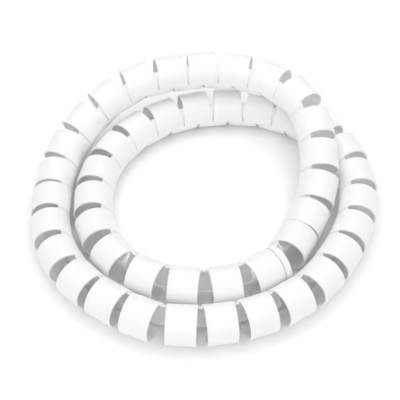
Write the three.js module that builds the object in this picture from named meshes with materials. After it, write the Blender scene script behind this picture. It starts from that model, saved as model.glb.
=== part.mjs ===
// A slotted cable wrap lying on a level floor in two loose turns, its two ends meeting.
// The wrap is one moulded tube with a continuous spine on the inner side of each bend.
// Long claws stand on one edge of the spine and short tabs on the other, and a lengthwise
// slit between their tips lets cables in and out anywhere along the tube.
// Millimetres, +Z up, origin on the floor below the middle of the turns.
import * as THREE from 'three';

// Driving dimensions of the tube
const OUTER_DIAMETER = 25;
const WALL = 1.2;
const CLAW_PITCH = 20.37;
const SLOT_WIDTH = 1.8;
const END_GAP = 0.6;

// Places round the tube's section, in degrees, from the side that faces the turns' middle,
// counted upwards over the top
const SPINE_LOW_EDGE = -10;
const SPINE_HIGH_EDGE = 58;
const TAB_TIP = -60;
const CLAW_TIP = 292;
const BOTTOM = 270;

// The facets of the claws: the lowest one is flat on the floor
const FACET_HALF_ANGLE = 14;
const SPINE_FACETS = 3;
const TAB_FACETS = 2;

// The middle line of the tube, seen from above, clockwise from the end that leads
const ROUTE = [
  [43, -53], [15, -69], [-18, -70], [-49, -56], [-68, -29], [-73, 3], [-67, 34], [-49, 62],
  [-23, 80], [9, 88], [41, 85], [70, 70], [91, 46], [99, 14], [95, -18], [82, -47],
  [62, -73], [34, -91], [2, -99], [-30, -97], [-59, -82], [-83, -60], [-97, -31], [-100, 2],
  [-96, 34], [-80, 62], [-55, 82], [-24, 93], [8, 97], [39, 89], [63, 67], [73, 36],
  [72, 4], [60, -26],
];

// Where the second turn has climbed over the first, how long it stays up and how long it slopes
const SUMMIT = [17, 96];
const CROSSING_GAP = 0.8;
const TOP_LENGTH = 92;
const CLIMB_LENGTH = 116;

const SAMPLES = 4000;
const UP = new THREE.Vector3(0, 0, 1);

const radians = THREE.MathUtils.degToRad;
const radius = OUTER_DIAMETER / 2;
// Flat facets touch the round outside, so their corners stand a little outside it
const cornerFactor = 1 / Math.cos(radians(FACET_HALF_ANGLE));

// The middle line as close points, level but for the hump where the second turn climbs over
function traceRoute() {
  const flat = new THREE.CatmullRomCurve3(ROUTE.map(([x, y]) => new THREE.Vector3(x, y, 0)), true);
  const stations = [];
  for (let i = 0; i <= SAMPLES; i += 1) {
    stations.push({ point: flat.getPoint((i % SAMPLES) / SAMPLES) });
  }
  let flatLength = 0;
  let summitAt = 0;
  let nearest = Infinity;
  stations.forEach((station, i) => {
    if (i > 0) {
      flatLength += station.point.distanceTo(stations[i - 1].point);
    }
    station.flatLength = flatLength;
    const offSummit = Math.hypot(station.point.x - SUMMIT[0], station.point.y - SUMMIT[1]);
    const secondTurn = i > SAMPLES / 2;
    if (secondTurn && offSummit < nearest) {
      nearest = offSummit;
      summitAt = flatLength;
    }
  });
  const rise = OUTER_DIAMETER * cornerFactor + CROSSING_GAP;
  stations.forEach((station) => {
    const pastTop = Math.abs(station.flatLength - summitAt) - TOP_LENGTH / 2;
    const off = THREE.MathUtils.clamp(pastTop / CLIMB_LENGTH, 0, 1);
    station.point.z = radius + (rise * (1 + Math.cos(Math.PI * off))) / 2;
  });
  return stations;
}

// Directions at each station: along the tube, outwards from the turns, and up across the tube
function addDirections(stations) {
  stations.forEach((station, i) => {
    const before = stations[i === 0 ? SAMPLES - 1 : i - 1].point;
    const after = stations[i === SAMPLES ? 1 : i + 1].point;
    station.along = after.clone().sub(before).normalize();
    station.outward = UP.clone().cross(station.along).normalize();
    station.upward = station.along.clone().cross(station.outward);
  });
  let length = 0;
  stations.forEach((station, i) => {
    station.spine = station.point.clone().addScaledVector(station.outward, -radius);
    if (i > 0) {
      length += station.spine.distanceTo(stations[i - 1].spine);
    }
    station.length = length;
  });
}

const stations = traceRoute();
addDirections(stations);
const loopLength = stations[SAMPLES].length;
const wrapLength = loopLength - END_GAP;

// The station at a length along the spine, or the nearest end
function stationAt(length) {
  return stations.find((station) => station.length >= length) ?? stations[SAMPLES];
}

// How far a straight claw on the start of a slope has to rise for its lower end to clear the floor
function floorLift(station) {
  const dip = (CLAW_PITCH / 2) * Math.abs(station.along.z);
  return Math.max(dip - (station.point.z - radius), 0);
}

// A point of the sheet, outside and inside, carried by a straight stretch of tube; the cut claw at
// the trailing end lies in line with the first claw
function sheetPoint(middle, length, angle) {
  const trailing = middle > loopLength;
  const station = stationAt(trailing ? (CLAW_PITCH - SLOT_WIDTH) / 2 : middle);
  const past = length - station.length - (trailing ? loopLength : 0);
  const turned = radians(angle);
  const radial = station.outward.clone().multiplyScalar(-Math.cos(turned));
  radial.addScaledVector(station.upward, Math.sin(turned));
  const centre = station.point.clone().addScaledVector(station.along, past);
  centre.z += floorLift(station);
  return {
    length,
    outside: centre.clone().addScaledVector(radial, radius * cornerFactor),
    inside: centre.clone().addScaledVector(radial, (radius - WALL) * cornerFactor),
  };
}

// Corner angles of a claw: up over the spine, even facets round the tube, the floor, then the tip
function clawAngles() {
  const floorFacet = BOTTOM - FACET_HALF_ANGLE;
  const count = Math.round((floorFacet - SPINE_HIGH_EDGE) / (2 * FACET_HALF_ANGLE));
  const angles = [];
  for (let i = 1; i <= SPINE_FACETS; i += 1) {
    angles.push(SPINE_LOW_EDGE + ((SPINE_HIGH_EDGE - SPINE_LOW_EDGE) * i) / SPINE_FACETS);
  }
  for (let i = 1; i <= count; i += 1) {
    angles.push(SPINE_HIGH_EDGE + ((floorFacet - SPINE_HIGH_EDGE) * i) / count);
  }
  angles.push(BOTTOM + FACET_HALF_ANGLE, CLAW_TIP);
  return angles;
}

function tabAngles() {
  const angles = [];
  for (let i = 0; i <= TAB_FACETS; i += 1) {
    angles.push(SPINE_LOW_EDGE + ((TAB_TIP - SPINE_LOW_EDGE) * i) / TAB_FACETS);
  }
  return angles;
}

// The sheet: its points and its triangles as seen from outside
const points = [];
const triangles = [];

function addPoint(middle, length, angle) {
  points.push(sheetPoint(middle, length, angle));
  return points.length - 1;
}

function addStrip(lowRow, highRow) {
  for (let i = 0; i + 1 < lowRow.length; i += 1) {
    triangles.push([lowRow[i], lowRow[i + 1], highRow[i + 1]]);
    triangles.push([lowRow[i], highRow[i + 1], highRow[i]]);
  }
}

// A claw or a tab: two columns of points, in rows from its root to its tip
function addFinger(start, end, middle, angles) {
  const rows = angles.map((angle) => [addPoint(middle, start, angle), addPoint(middle, end, angle)]);
  const rising = angles[1] > angles[0];
  for (let i = 0; i + 1 < rows.length; i += 1) {
    addStrip(rising ? rows[i] : rows[i + 1], rising ? rows[i + 1] : rows[i]);
  }
  return rows;
}

// Claws or tabs along the spine, joined by a web over as many facets from their roots as asked
function addFingers(firstStart, angles, webFacets) {
  const fingers = [];
  for (let start = firstStart; start < wrapLength; start += CLAW_PITCH) {
    const end = start + CLAW_PITCH - SLOT_WIDTH;
    const middle = (start + end) / 2;
    fingers.push(addFinger(Math.max(start, 0), Math.min(end, wrapLength), middle, angles));
  }
  fingers.slice(1).forEach((rows, i) => {
    const before = fingers[i];
    for (let k = 0; k < webFacets; k += 1) {
      addStrip([before[k][1], rows[k][0]], [before[k + 1][1], rows[k + 1][0]]);
    }
  });
  return fingers.flatMap((rows) => rows[0]);
}

// The lowest facet of the spine, between two edges whose points lie at different lengths
function addSpineFoot(lowEdge, highEdge) {
  let low = 0;
  let high = 0;
  while (low + 1 < lowEdge.length || high + 1 < highEdge.length) {
    const nextLow = low + 1 < lowEdge.length ? points[lowEdge[low + 1]].length : Infinity;
    const nextHigh = high + 1 < highEdge.length ? points[highEdge[high + 1]].length : Infinity;
    if (nextLow <= nextHigh) {
      triangles.push([lowEdge[low], lowEdge[low + 1], highEdge[high]]);
      low += 1;
    } else {
      triangles.push([lowEdge[low], highEdge[high + 1], highEdge[high]]);
      high += 1;
    }
  }
}

// The closed solid between the sheet's outside and inside, walled along its free edges
function sheetGeometry() {
  const positions = [];
  points.forEach(({ outside, inside }) => positions.push(...outside.toArray(), ...inside.toArray()));
  const outer = (i) => 2 * i;
  const inner = (i) => 2 * i + 1;
  const free = new Map();
  const faces = [];
  triangles.forEach(([a, b, c]) => {
    faces.push(outer(a), outer(b), outer(c));
    faces.push(inner(c), inner(b), inner(a));
    [[a, b], [b, c], [c, a]].forEach(([from, to]) => {
      if (!free.delete(`${to} ${from}`)) {
        free.set(`${from} ${to}`, [from, to]);
      }
    });
  });
  free.forEach(([from, to]) => {
    faces.push(outer(to), outer(from), inner(from));
    faces.push(outer(to), inner(from), inner(to));
  });
  const geometry = new THREE.BufferGeometry();
  geometry.setAttribute('position', new THREE.Float32BufferAttribute(positions, 3));
  geometry.setIndex(faces);
  geometry.computeVertexNormals();
  return geometry;
}

const highEdge = addFingers(0, clawAngles(), SPINE_FACETS - 1);
const lowEdge = addFingers(-CLAW_PITCH / 2, tabAngles(), 0);
addSpineFoot(lowEdge, highEdge);

const whitePlastic = new THREE.MeshStandardMaterial({ color: 0xf4f4f6, roughness: 0.35, metalness: 0 });
const cableWrap = new THREE.Mesh(sheetGeometry(), whitePlastic);
cableWrap.name = 'cable_wrap';

const wrap = new THREE.Group();
wrap.add(cableWrap);

export default wrap;
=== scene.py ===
"""The dressed look of a slotted cable wrap that lies on a floor in two loose turns.

The wrap is one sheet of plastic bent round to a tube, and its two ends meet. A continuous spine
runs along the inner side of the turns. Long claws stand on the spine's upper edge and reach over
the top and the outer side to the bottom, and short tabs stand on its lower edge, half a pitch
further on. Claws and tabs are straight. The spine bends along its lower edge, and higher up only
in the creases that run down it from the slots between the claws. Every length is in metres.
"""

import logging
import math
from bisect import bisect_left
from dataclasses import dataclass, field, replace
from enum import Enum

import bmesh
import bpy
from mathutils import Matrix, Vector

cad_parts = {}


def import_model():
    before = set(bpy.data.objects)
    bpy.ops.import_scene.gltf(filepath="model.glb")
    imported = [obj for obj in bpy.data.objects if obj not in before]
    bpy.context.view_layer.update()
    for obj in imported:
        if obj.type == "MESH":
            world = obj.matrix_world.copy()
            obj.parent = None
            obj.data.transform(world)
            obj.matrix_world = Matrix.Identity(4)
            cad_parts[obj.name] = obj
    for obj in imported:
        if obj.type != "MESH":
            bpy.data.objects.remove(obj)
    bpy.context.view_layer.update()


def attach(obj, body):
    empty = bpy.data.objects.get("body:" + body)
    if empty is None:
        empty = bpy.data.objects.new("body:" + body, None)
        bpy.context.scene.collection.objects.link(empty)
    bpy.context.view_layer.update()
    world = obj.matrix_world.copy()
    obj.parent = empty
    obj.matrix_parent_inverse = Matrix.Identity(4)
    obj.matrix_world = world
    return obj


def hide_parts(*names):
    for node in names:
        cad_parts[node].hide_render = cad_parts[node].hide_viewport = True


LOG = logging.getLogger("cable wrap")

MM = 0.001
UP = Vector((0.0, 0.0, 1.0))
QUARTER_TURN = tuple(math.radians(angle) for angle in (22.5, 45.0, 67.5, 90.0))

# The places of the colour inputs and of the colour result on a Mix node
COLOUR_A = 6
COLOUR_B = 7
COLOUR_RESULT = 2


class Edge(Enum):
    """The edge of the spine that a finger stands on, and the way its section angle runs."""

    UPPER = 1
    LOWER = -1


@dataclass(frozen=True)
class Station:
    """A place on the middle line of the tube.

    Args:
        point: the place itself.
        along: the direction of the tube.
        outward: the level direction away from the middle of the turns.
        upward: the direction up across the tube.
        length: how far the spine has run from the leading end.
    """

    point: Vector
    along: Vector
    outward: Vector
    upward: Vector
    length: float

    def radial(self, angle: float) -> Vector:
        """The direction across the tube at a section angle in degrees, from the spine upwards."""
        turned = math.radians(angle)
        return self.upward * math.sin(turned) - self.outward * math.cos(turned)


def smooth(share: float) -> float:
    """Eases a share that is first held between 0 and 1."""
    held = min(max(share, 0.0), 1.0)
    return held * held * (3 - 2 * held)


@dataclass
class Route:
    """The middle line of the tube: two turns, clockwise from the leading end, in millimetres.

    Args:
        radius: the tube's outer radius.
        knots: the places that the line passes through, seen from above.
        summit: where the second turn has climbed over the first, seen from above.
        rise: how much higher the upper turn lies there.
        top: how long it stays up.
        climb: how long it takes to climb and to come down.
        samples: how many places the line is made of.
        stations: the places once they are traced, with the first one again at the end.
        lengths: how far the spine has run at each of them.
    """

    radius: float
    knots: tuple[tuple[float, float], ...] = (
        (43, -53), (15, -69), (-18, -70), (-49, -56), (-68, -29), (-73, 3), (-67, 34), (-49, 62),
        (-23, 80), (9, 88), (41, 85), (70, 70), (91, 46), (99, 14), (95, -18), (82, -47),
        (62, -73), (34, -91), (2, -99), (-30, -97), (-59, -82), (-83, -60), (-97, -31), (-100, 2),
        (-96, 34), (-80, 62), (-55, 82), (-24, 93), (8, 97), (39, 89), (63, 67), (73, 36),
        (72, 4), (60, -26),
    )
    summit: tuple[float, float] = (17, 96)
    rise: float = 26.57 * MM
    top: float = 92 * MM
    climb: float = 116 * MM
    samples: int = 4000
    stations: list[Station] = field(init=False, default_factory=list)
    lengths: list[float] = field(init=False, default_factory=list)

    def __post_init__(self) -> None:
        """Traces the line and measures the spine along it."""
        turns = (i * len(self.knots) / self.samples for i in range(self.samples))
        points = self.raised([self.place(turn) for turn in turns])
        spine: list[Vector] = []
        for i, point in enumerate(points):
            along = (points[(i + 1) % self.samples] - points[i - 1]).normalized()
            outward = UP.cross(along).normalized()
            spine.append(point - outward * self.radius)
            run = self.lengths[-1] + (spine[i] - spine[i - 1]).length if i else 0.0
            self.lengths.append(run)
            self.stations.append(Station(point, along, outward, along.cross(outward), run))
        closing = self.lengths[-1] + (spine[0] - spine[-1]).length
        self.lengths.append(closing)
        self.stations.append(replace(self.stations[0], length=closing))

    def place(self, turn: float) -> Vector:
        """Finds a place on the closed curve through the knots.

        Args:
            turn: how far round the place is, counted in knots.

        Returns:
            The place, on the level plane through the origin.
        """
        count = len(self.knots)
        first = math.floor(turn)
        a, b, c, d = (Vector((*self.knots[(first + k) % count], 0.0)) * MM for k in (-1, 0, 1, 2))
        spans = ((a, b), (b, c), (c, d))
        before, between, after = (math.sqrt((q - p).length / MM) for p, q in spans)
        start = ((b - a) / before - (c - a) / (before + between) + (c - b) / between) * between
        end = ((c - b) / between - (d - b) / (between + after) + (d - c) / after) * between
        t = turn - first
        square = 3 * (c - b) - 2 * start - end
        cube = 2 * (b - c) + start + end
        return b + start * t + square * t**2 + cube * t**3

    def raised(self, points: list[Vector]) -> list[Vector]:
        """Lifts the line off the floor, and over the first turn where the second one crosses it.

        Args:
            points: the line on the level plane through the origin.

        Returns:
            The line at the height of the tube's middle.
        """
        over = Vector((*self.summit, 0.0)) * MM
        runs = [0.0]
        for before, after in zip(points, points[1:]):
            runs.append(runs[-1] + (after - before).length)
        second_turn = range(self.samples // 2, self.samples)
        middle = runs[min(second_turn, key=lambda i: (points[i] - over).length)]
        lifted = []
        for point, run in zip(points, runs):
            off = min(max((abs(run - middle) - self.top / 2) / self.climb, 0.0), 1.0)
            height = self.rise * (1 + math.cos(math.pi * off)) / 2
            lifted.append(point + UP * (self.radius + height))
        return lifted

    def at(self, length: float) -> Station:
        """Finds the station at a length of spine.

        Args:
            length: how far the spine has run from the leading end.

        Returns:
            The station there, between the two nearest traced ones.
        """
        above = min(max(bisect_left(self.lengths, length), 1), self.samples)
        low, high = self.stations[above - 1], self.stations[above]
        share = min(max((length - low.length) / (high.length - low.length), 0.0), 1.0)
        along = low.along.lerp(high.along, share).normalized()
        outward = UP.cross(along).normalized()
        point = low.point.lerp(high.point, share)
        return Station(point, along, outward, along.cross(outward), length)


class Socket:
    """A shader value that is written in sums. Each operator adds its own maths node."""

    def __init__(self, bench: "NodeBench", link: bpy.types.NodeSocket) -> None:
        """Wraps an output of a node on the bench."""
        self.bench = bench
        self.link = link

    def maths(self, operation: str, *values: "Socket | float") -> "Socket":
        """Adds a maths node and returns its result."""
        return self.bench.add("ShaderNodeMath", {"operation": operation}, dict(enumerate(values)))

    def __add__(self, other: "Socket | float") -> "Socket":
        """Adds a value."""
        return self.maths("ADD", self, other)

    __radd__ = __add__

    def __mul__(self, other: "Socket | float") -> "Socket":
        """Multiplies by a value."""
        return self.maths("MULTIPLY", self, other)


class NodeBench:
    """The node tree of one material, with one way to add any node."""

    def __init__(self, name: str) -> None:
        """Makes an empty material with a plastic shader and its output."""
        self.material = bpy.data.materials.new(name)
        self.material.use_nodes = True
        self.tree = self.material.node_tree
        self.tree.nodes.clear()
        self.shader = self.tree.nodes.new("ShaderNodeBsdfPrincipled")
        output = self.tree.nodes.new("ShaderNodeOutputMaterial")
        self.tree.links.new(self.shader.outputs["BSDF"], output.inputs["Surface"])

    def add(self, kind: str, settings: dict, inputs: dict, result: int | str = 0) -> Socket:
        """Adds a node.

        Args:
            kind: the node's type.
            settings: the node's own settings, which are made first.
            inputs: a value or a Socket for each input, by its name or place.
            result: which output is wanted.

        Returns:
            That output, ready for sums.
        """
        node = self.tree.nodes.new(kind)
        for name, value in settings.items():
            setattr(node, name, value)
        for name, value in inputs.items():
            self.feed(node.inputs[name], value)
        return Socket(self, node.outputs[result])

    def feed(self, target: bpy.types.NodeSocket, value: "Socket | float | tuple") -> None:
        """Links a Socket to an input, or sets a plain value on it."""
        if isinstance(value, Socket):
            self.tree.links.new(value.link, target)
        else:
            target.default_value = value

    def dress(self, inputs: dict) -> bpy.types.Material:
        """Sets the shader's own inputs and returns the material."""
        for name, value in inputs.items():
            self.feed(self.shader.inputs[name], value)
        return self.material


@dataclass(frozen=True)
class MouldedWhite:
    """Satin white plastic that lets a little light in, with faint draw lines along the tube.

    Args:
        tint: the plastic's colour.
        shade: its colour where the pigment is thinner.
        roughness: its roughness where the pattern adds nothing.
        uneven: how much the lines and the clouds each add to the roughness.
        line_scale: how often the lines change in a metre along the tube and round it.
        cloud_scale: how often the clouds change in a metre.
        grain_scale: how often the grain changes in a metre.
        relief: how high the pattern stands.
        strength: how much of that height shows.
        heights: how high the lines, the clouds and the grain stand, as shares of it.
        refraction: the plastic's index of refraction.
        scatter: how much of the light scatters inside it.
        scatter_depth: how far that light travels.
        scatter_tint: how far its red, green and blue travel, as shares of that.
    """

    tint: tuple[float, ...] = (0.94, 0.94, 0.955, 1.0)
    shade: tuple[float, ...] = (0.91, 0.91, 0.93, 1.0)
    roughness: float = 0.28
    uneven: float = 0.06
    line_scale: tuple[float, float, float] = (60.0, 1500.0, 1.0)
    cloud_scale: float = 45.0
    grain_scale: float = 2600.0
    relief: float = 0.15 * MM
    strength: float = 0.25
    heights: tuple[float, float, float] = (0.5, 1.2, 0.15)
    refraction: float = 1.49
    scatter: float = 0.7
    scatter_depth: float = 3.0 * MM
    scatter_tint: tuple[float, float, float] = (1.0, 0.95, 0.9)

    def material(self) -> bpy.types.Material:
        """Builds the finish.

        Returns:
            A material whose pattern follows the wrap's own map, in metres along and round it.
        """
        bench = NodeBench("white_plastic")
        place = bench.add("ShaderNodeTexCoord", {}, {}, "Object")
        sheet = bench.add("ShaderNodeUVMap", {"uv_map": "along_and_round"}, {})
        drawn = bench.add("ShaderNodeMapping", {}, {"Vector": sheet, "Scale": self.line_scale})
        lines = self.noise(bench, drawn, 1.0, 3.0)
        cloud = self.noise(bench, place, self.cloud_scale, 2.0)
        grain = self.noise(bench, place, self.grain_scale, 2.0)
        colour = bench.add(
            "ShaderNodeMix",
            {"data_type": "RGBA"},
            {"Factor": cloud, COLOUR_A: self.tint, COLOUR_B: self.shade},
            COLOUR_RESULT,
        )
        line_height, cloud_height, grain_height = self.heights
        height = lines * line_height + cloud * cloud_height + grain * grain_height
        bump = bench.add(
            "ShaderNodeBump",
            {},
            {"Strength": self.strength, "Distance": self.relief, "Height": height},
        )
        return bench.dress({
            "Base Color": colour,
            "Roughness": self.roughness + lines * self.uneven + cloud * self.uneven,
            "Normal": bump,
            "IOR": self.refraction,
            "Subsurface Weight": self.scatter,
            "Subsurface Radius": self.scatter_tint,
            "Subsurface Scale": self.scatter_depth,
        })

    @staticmethod
    def noise(bench: NodeBench, place: Socket, scale: float, detail: float) -> Socket:
        """Adds noise that follows a place."""
        inputs = {"Vector": place, "Scale": scale, "Detail": detail}
        return bench.add("ShaderNodeTexNoise", {}, inputs)


@dataclass(frozen=True)
class Column:
    """A line of points that runs across the spine.

    Args:
        place: how far along the spine it lies.
        claw: which claw it belongs to, or which claw follows the crease that it lies in.
        sunk: how far down the crease it lies, from 0 outside it to 1 along its middle.
        aside: how far it is from the middle of the crease, where it lies in one or along its side.
        parts_tabs: whether two tabs meet at it.
    """

    place: float
    claw: int
    sunk: float = 0.0
    aside: float = 0.0
    parts_tabs: bool = False


@dataclass(frozen=True)
class Corner:
    """A point of the sheet, on its outer and on its inner face.

    Args:
        outer: the point outside.
        inner: the point inside.
        flat: its place on the flat pattern.
    """

    outer: bmesh.types.BMVert
    inner: bmesh.types.BMVert
    flat: tuple[float, float]


@dataclass
class WrapSheet:
    """The wrap in one sheet: its spine with a crease below each slot, its claws and its tabs.

    Args:
        radius: the tube's outer radius.
        wall: how thick the plastic is.
        pitch: a claw and its slot, measured along the spine.
        slot: how wide a slot is at the spine.
        gap: the space between the wrap's two ends.
        low: the section angle of the spine's lower edge, in degrees.
        high: the section angle of the spine's upper edge.
        claw_tip: the section angle where the claws end.
        tab_tip: the section angle where the tabs end.
        stiff_from: the section angle above which the spine bends in its creases only.
        crease_foot: the section angle where a crease ends in a small pit.
        crease_depth: how far a crease is sunk.
        crease_side: how far it is sunk at the sides of its floor, as a share of its depth.
        crease_inside: how far the inner face is sunk below it, as a share of its depth.
        crease_floor: how much of a crease's width is its floor.
        crease_narrow: how wide a crease is at its foot, as a share of the slot.
        crease_ramp: over how many degrees a crease sinks from its foot, and the pit's half width.
        pit_above: how many degrees the middle of the pit lies above the foot.
        pit_depth: how much deeper the pit is, as a share of the crease's depth.
        foot_rows: the rows above the foot of a crease, in degrees from it.
        tip_round: how far the corners of the tips are rounded, for each kind of finger.
        facet: the step of the section angle along a finger.
        settle: how far from its root a tab takes to be quite straight.
        edge_round: how far the moulded edges are rounded.
        end_clear: how close to an end of the wrap a column may lie.
        line_step: how far apart the places of the cord's own line are.
        smooth_below: the angle between faces up to which they are shaded smooth, in degrees.
    """

    radius: float = 12.5 * MM
    wall: float = 1.2 * MM
    pitch: float = 20.37 * MM
    slot: float = 1.8 * MM
    gap: float = 0.6 * MM
    low: float = -10.0
    high: float = 58.0
    claw_tip: float = 292.0
    tab_tip: float = -60.0
    stiff_from: float = 40.0
    crease_foot: float = -6.0
    crease_depth: float = 1.25 * MM
    crease_side: float = 0.85
    crease_inside: float = 0.7
    crease_floor: float = 0.6
    crease_narrow: float = 0.7
    crease_ramp: float = 2.5
    pit_above: float = 4.0
    pit_depth: float = 0.5
    foot_rows: tuple[float, ...] = (2.0, 4.0, 7.0, 12.0)
    tip_round: dict[Edge, float] = field(
        default_factory=lambda: {Edge.UPPER: 1.2 * MM, Edge.LOWER: 3.0 * MM}
    )
    facet: float = 8.0
    settle: float = 5.0 * MM
    edge_round: float = 0.28 * MM
    end_clear: float = 0.5 * MM
    line_step: float = 5.0 * MM
    smooth_below: float = 50.0

    def __post_init__(self) -> None:
        """Traces the route and marks the columns and the claws along the spine."""
        self.route = Route(self.radius)
        self.end = self.route.lengths[-1] - self.gap
        self.columns = self.marked_columns()
        count = self.columns[-1].claw + 1
        full = self.pitch - self.slot
        self.claws = [self.route.at(k * self.pitch + full / 2) for k in range(count - 1)]
        first = self.claws[0]
        self.claws.append(replace(first, length=first.length + self.route.lengths[-1]))
        self.shell = bmesh.new()
        self.mapped = self.shell.loops.layers.uv.new("along_and_round")
        self.rounded = self.shell.edges.layers.float.new("bevel_weight_edge")
        self.free: dict[tuple, tuple[Corner, Corner]] = {}

    def marked_columns(self) -> list[Column]:
        """Marks the columns of the sheet.

        Returns:
            The columns, from one end of the wrap to the other.
        """
        half, quarter = self.slot / 2, self.pitch / 4
        floor, side = half * self.crease_floor, self.crease_side
        columns = [Column(0.0, 0)]
        middle, claw = -half, 0
        while middle < self.end:
            following = middle + self.pitch
            spots = [
                Column(middle, claw, 1.0),
                Column(middle + floor, claw, side, floor),
                Column(middle + half, claw, 0.0, half),
                Column(middle + 2 * half, claw),
                Column(middle + quarter, claw),
                Column(middle + 2 * quarter, claw, parts_tabs=True),
                Column(middle + 3 * quarter, claw),
                Column(following - 2 * half, claw),
                Column(following - half, claw, 0.0, -half),
                Column(following - floor, claw + 1, side, -floor),
            ]
            middle, claw = following, claw + 1
            low, high = self.end_clear, self.end - self.end_clear
            columns += [spot for spot in spots if low < spot.place < high]
        return columns + [Column(self.end, columns[-1].claw)]

    def middle_line(self) -> list[Vector]:
        """The places that the tube's middle line follows, evenly apart."""
        count = round(self.end / self.line_step)
        return [self.route.at(self.end * i / count).point for i in range(count + 1)]

    def spine_rows(self) -> list[float]:
        """The section angles of the spine's rows, closer together round the foot of a crease."""
        foot = self.crease_foot
        rows = [self.low, foot, *(foot + above for above in self.foot_rows)]
        last, left = rows[-1], self.high - rows[-1]
        count = math.ceil(left / self.facet)
        return rows + [last + left * i / count for i in range(1, count + 1)]

    def finger_rows(self, edge: Edge) -> list[tuple[float, float]]:
        """Lays out the rows of a finger above its root.

        Args:
            edge: the edge of the spine that the finger stands on.

        Returns:
            Each row's section angle, and how far its sides are drawn in from the root's.
        """
        degrees = math.degrees(1 / self.radius)
        root, tip = (self.high, self.claw_tip) if edge is Edge.UPPER else (self.low, self.tab_tip)
        reach = abs(tip - root) / degrees
        corner = self.tip_round[edge]
        half = self.slot / 2 if edge is Edge.LOWER else 0.0
        made = [(half * (1 - math.cos(a)), half * math.sin(a)) for a in QUARTER_TURN if half]
        straight = reach - half - corner
        count = max(round(straight * degrees / self.facet), 1)
        made += [(half + straight * i / count, half) for i in range(1, count + 1)]
        for a in QUARTER_TURN:
            height = reach - corner * (1 - math.sin(a))
            made.append((height, half + corner * (1 - math.cos(a))))
        return [(root + edge.value * height * degrees, inset) for height, inset in made]

    def lift(self, station: Station) -> float:
        """How far a straight claw at the foot of a slope has to rise to clear the floor."""
        dip = self.pitch / 2 * abs(station.along.z)
        return max(dip - (station.point.z - self.radius), 0.0)

    def bent(self, length: float, angle: float, radius: float) -> Vector:
        """A place that follows the route."""
        station = self.route.at(length)
        return station.point + station.radial(angle) * radius

    def straight(self, middle: Station, length: float, angle: float, radius: float) -> Vector:
        """A place on a straight stretch of tube, which follows the route only at its middle."""
        centre = middle.point + middle.along * (length - middle.length) + UP * self.lift(middle)
        return centre + middle.radial(angle) * radius

    def spine_place(self, column: Column, angle: float, radius: float) -> Vector:
        """Finds a place on the spine, which is stiff between its creases but for its lower edge.

        Args:
            column: the column that it lies in.
            angle: its section angle.
            radius: how far it is from the middle of the tube.

        Returns:
            The place.
        """
        weight = smooth((angle - self.low) / (self.stiff_from - self.low))
        narrow = self.crease_narrow + (1 - self.crease_narrow) * smooth(angle / self.high)
        place = column.place - column.aside * (1 - narrow)
        if column.sunk:
            middle, half = column.claw * self.pitch - self.slot / 2, self.slot / 2 * narrow
            before = self.straight(self.claws[column.claw - 1], middle - half, angle, radius)
            after = self.straight(self.claws[column.claw], middle + half, angle, radius)
            stiff = before.lerp(after, (place - middle + half) / (2 * half))
        else:
            stiff = self.straight(self.claws[column.claw], place, angle, radius)
        return self.bent(place, angle, radius).lerp(stiff, weight)

    def corner(self, places: tuple[Vector, Vector], length: float, angle: float) -> Corner:
        """Adds a point of the sheet, which stays above the floor.

        Args:
            places: where it lies outside and inside.
            length: how far along the spine it lies.
            angle: its section angle.

        Returns:
            The point with its place on the flat pattern.
        """
        for place in places:
            place.z = max(place.z, 0.0)
        outer, inner = (self.shell.verts.new(place) for place in places)
        return Corner(outer, inner, (length, math.radians(angle) * self.radius))

    def face(self, verts: list, flats: list) -> None:
        """Adds a face with its places on the flat pattern."""
        for loop, flat in zip(self.shell.faces.new(verts).loops, flats):
            loop[self.mapped].uv = flat

    def strip(self, low: list[Corner], high: list[Corner]) -> None:
        """Joins two rows of points with faces on both sides of the sheet.

        Args:
            low: the row with the smaller section angle.
            high: the row with the larger one.
        """
        for a, b, c, d in zip(low, low[1:], high[1:], high):
            ring = [a, b, c, d]
            self.face([spot.outer for spot in ring], [spot.flat for spot in ring])
            self.face([spot.inner for spot in ring[::-1]], [spot.flat for spot in ring[::-1]])
            for start, stop in zip(ring, ring[1:] + ring[:1]):
                if self.free.pop((stop.outer, start.outer), None) is None:
                    self.free[(start.outer, stop.outer)] = (start, stop)

    def spine(self) -> dict[Edge, list[Corner]]:
        """Adds the spine with its creases.

        Returns:
            The points of its two edges.
        """
        rows = []
        for angle in self.spine_rows():
            above = angle - self.crease_foot
            ramp = smooth(above / self.crease_ramp)
            pit = math.exp(-(((above - self.pit_above) / self.crease_ramp) ** 2))
            depth = self.crease_depth * ramp * (1 + self.pit_depth * pit)
            row = []
            for column in self.columns:
                sunk = column.sunk * depth
                inside = self.radius - self.wall - self.crease_inside * sunk
                outer = self.spine_place(column, angle, self.radius - sunk)
                inner = self.spine_place(column, angle, inside)
                row.append(self.corner((outer, inner), column.place, angle))
            rows.append(row)
        for low, high in zip(rows, rows[1:]):
            self.strip(low, high)
        return {Edge.LOWER: rows[0], Edge.UPPER: rows[-1]}

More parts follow.
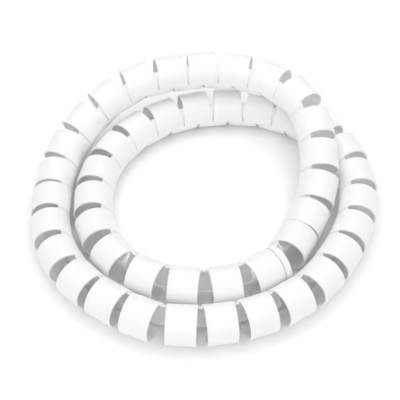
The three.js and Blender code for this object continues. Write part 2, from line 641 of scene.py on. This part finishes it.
    def finger(self, edge: Edge, root: list[Corner], spots: list[Column], middle: Station) -> None:
        """Adds a claw or a tab.

        Args:
            edge: the edge of the spine that it stands on.
            root: the points of the spine that it grows from.
            spots: the columns that they lie in.
            middle: the station that it follows.
        """
        first, last = spots[0].place, spots[-1].place
        spare = self.slot / 2 if edge is Edge.LOWER else 0.0
        left_spare = spare if first == 0.0 else 0.0
        right_spare = spare if last == self.end else 0.0
        below = root
        for angle, inset in self.finger_rows(edge):
            left = first + max(inset - left_spare, 0.0)
            right = last - max(inset - right_spare, 0.0)
            weight = 1.0
            if edge is Edge.LOWER:
                weight = smooth(math.radians(self.low - angle) * self.radius / self.settle)
            row = []
            for spot in spots:
                s = left + (right - left) * (spot.place - first) / (last - first)
                pair = tuple(
                    self.bent(s, angle, r).lerp(self.straight(middle, s, angle, r), weight)
                    for r in (self.radius, self.radius - self.wall)
                )
                row.append(self.corner(pair, s, angle))
            lower, upper = (below, row) if edge is Edge.UPPER else (row, below)
            self.strip(lower, upper)
            below = row

    def add_claws(self, root: list[Corner]) -> None:
        """Adds every claw on the spine's upper edge, one between each two creases."""
        for claw, middle in enumerate(self.claws):
            own = [i for i, spot in enumerate(self.columns) if spot.claw == claw and not spot.sunk]
            picked = slice(own[0], own[-1] + 1)
            self.finger(Edge.UPPER, root[picked], self.columns[picked], middle)

    def add_tabs(self, root: list[Corner]) -> None:
        """Adds every tab on the spine's lower edge, half a pitch out of step with the claws."""
        parts = [i for i, spot in enumerate(self.columns) if spot.parts_tabs]
        last = len(self.columns) - 1
        for tab, (start, stop) in enumerate(zip([0] + parts, parts + [last])):
            centre = tab * self.pitch - self.slot / 2
            picked = slice(start, stop + 1)
            middle = self.route.at(min(max(centre, 0.0), self.end))
            self.finger(Edge.LOWER, root[picked], self.columns[picked], middle)

    def close(self) -> None:
        """Walls the sheet along its free edges and marks them to be rounded."""
        for start, stop in self.free.values():
            ring = [stop.outer, start.outer, start.inner, stop.inner]
            self.face(ring, [stop.flat, start.flat, start.flat, stop.flat])
            for pair in ((start.outer, stop.outer), (start.inner, stop.inner)):
                self.shell.edges.get(pair)[self.rounded] = 1.0

    def sheet(self) -> bpy.types.Object:
        """Builds the whole wrap with its sharp edges.

        Returns:
            The piece, closed all over.
        """
        edges = self.spine()
        self.add_claws(edges[Edge.UPPER])
        self.add_tabs(edges[Edge.LOWER])
        self.close()
        mesh = bpy.data.meshes.new("wrap_shell")
        self.shell.to_mesh(mesh)
        self.shell.free()
        piece = bpy.data.objects.new("wrap_shell", mesh)
        bpy.context.scene.collection.objects.link(piece)
        return piece

    def soften(self, piece: bpy.types.Object) -> None:
        """Rounds the marked edges of the moulding and smooths its faces.

        Args:
            piece: the wrap.
        """
        bpy.ops.object.select_all(action="DESELECT")
        bpy.context.view_layer.objects.active = piece
        piece.select_set(True)
        rounding = piece.modifiers.new("rounding", "BEVEL")
        rounding.width = self.edge_round
        rounding.segments = 2
        rounding.limit_method = "WEIGHT"
        bpy.ops.object.modifier_apply(modifier=rounding.name)
        bpy.ops.object.shade_smooth_by_angle(angle=math.radians(self.smooth_below))
        piece.select_set(False)

    def build(self, finish: MouldedWhite) -> bpy.types.Object:
        """Args:
            finish: the plastic that it is made of.

        Returns:
            The finished piece.
        """
        piece = self.sheet()
        self.soften(piece)
        piece.data.materials.append(finish.material())
        line = self.middle_line()
        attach(piece, "root")
        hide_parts("cable_wrap")
        sum((b - a).length for a, b in zip(line, line[1:]))
        2 * self.radius
        return piece


@dataclass
class Studio:
    """The pale floor, the soft lights and the camera.

    Args:
        aim: the place that the camera looks at.
        elevation: how high the camera stands, in degrees above the horizon.
        distance: how far it is from that place.
        focal_pixels: the camera's focal length, in pixels of the picture.
        picture: the width of the picture in pixels.
        sensor: the width of the camera's sensor in millimetres.
        floor_width: how wide the floor is.
        floor_tint: the floor's colour.
        lamps: each lamp's name, place, width and power in watts.
        room: how bright the room is round the lamps.
    """

    aim: Vector = field(default_factory=lambda: Vector((-0.004, 0.012, 0.0)))
    elevation: float = 47.7
    distance: float = 0.767
    focal_pixels: float = 1156.0
    picture: float = 400.0
    sensor: float = 36.0
    floor_width: float = 6.0
    floor_tint: tuple[float, ...] = (0.95, 0.95, 0.95, 1.0)
    lamps: tuple[tuple, ...] = (
        ("overhead", (0.0, 0.35, 1.3), 1.2, 7.5),
        ("front", (0.0, -1.0, 0.9), 1.0, 5.0),
        ("left", (-1.1, -0.5, 0.9), 0.8, 1.5),
        ("right", (1.1, -0.3, 0.9), 0.8, 1.2),
    )
    room: float = 0.58

    def camera(self) -> None:
        """Sets the camera up at the photograph's angle."""
        data = bpy.data.cameras.new("view")
        data.sensor_width = self.sensor
        data.lens = self.focal_pixels / self.picture * data.sensor_width
        data.clip_start, data.clip_end = 0.01, 20.0
        camera = bpy.data.objects.new("view", data)
        bpy.context.scene.collection.objects.link(camera)
        raised = math.radians(self.elevation)
        back = Vector((0.0, -math.cos(raised), math.sin(raised)))
        camera.location = self.aim + back * self.distance
        camera.rotation_euler = back.to_track_quat("Z", "Y").to_euler()
        bpy.context.scene.camera = camera

    def floor(self) -> bpy.types.Object:
        """Lays the floor.

        Returns:
            The floor, which isn't part of the object.
        """
        bpy.ops.object.select_all(action="DESELECT")
        bpy.ops.mesh.primitive_plane_add(size=self.floor_width, location=(0.0, 0.0, 0.0))
        floor = bpy.context.active_object
        floor.name = "floor"
        paper = NodeBench("floor").dress({"Base Color": self.floor_tint, "Roughness": 0.8})
        floor.data.materials.append(paper)
        floor.select_set(False)
        return floor

    def lamp(self, name: str, place: tuple[float, ...], size: float, power: float) -> None:
        """Hangs a soft square lamp that shines at the middle of the wrap.

        Args:
            name: the lamp's name.
            place: where it hangs.
            size: how wide it is.
            power: its power in watts.
        """
        data = bpy.data.lights.new(name, "AREA")
        data.shape = "SQUARE"
        data.size = size
        data.energy = power
        lamp = bpy.data.objects.new(name, data)
        bpy.context.scene.collection.objects.link(lamp)
        lamp.location = place
        lamp.rotation_euler = Vector(place).to_track_quat("Z", "Y").to_euler()

    def build(self) -> None:
        """Sets up the floor, the lamps, the room and how colours are shown."""
        self.floor()
        for name, place, size, power in self.lamps:
            self.lamp(name, place, size, power)
        world = bpy.data.worlds.new("room")
        world.use_nodes = True
        light = world.node_tree.nodes["Background"]
        light.inputs["Color"].default_value = (1.0, 1.0, 1.0, 1.0)
        light.inputs["Strength"].default_value = self.room
        bpy.context.scene.world = world
        bpy.context.scene.view_settings.view_transform = "Standard"


def main() -> None:
    """Builds the studio's camera, the wrap and the studio, in that order."""
    logging.basicConfig(level=logging.INFO, format="%(name)s: %(message)s")
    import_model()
    bpy.ops.object.select_all(action="DESELECT")
    studio = Studio()
    studio.camera()
    wrap = WrapSheet().build(MouldedWhite())
    LOG.info("%s: %d faces", wrap.name, len(wrap.data.polygons))
    studio.build()
    LOG.info("studio: floor, lamps and room")


if __name__ == "__main__":
    main()
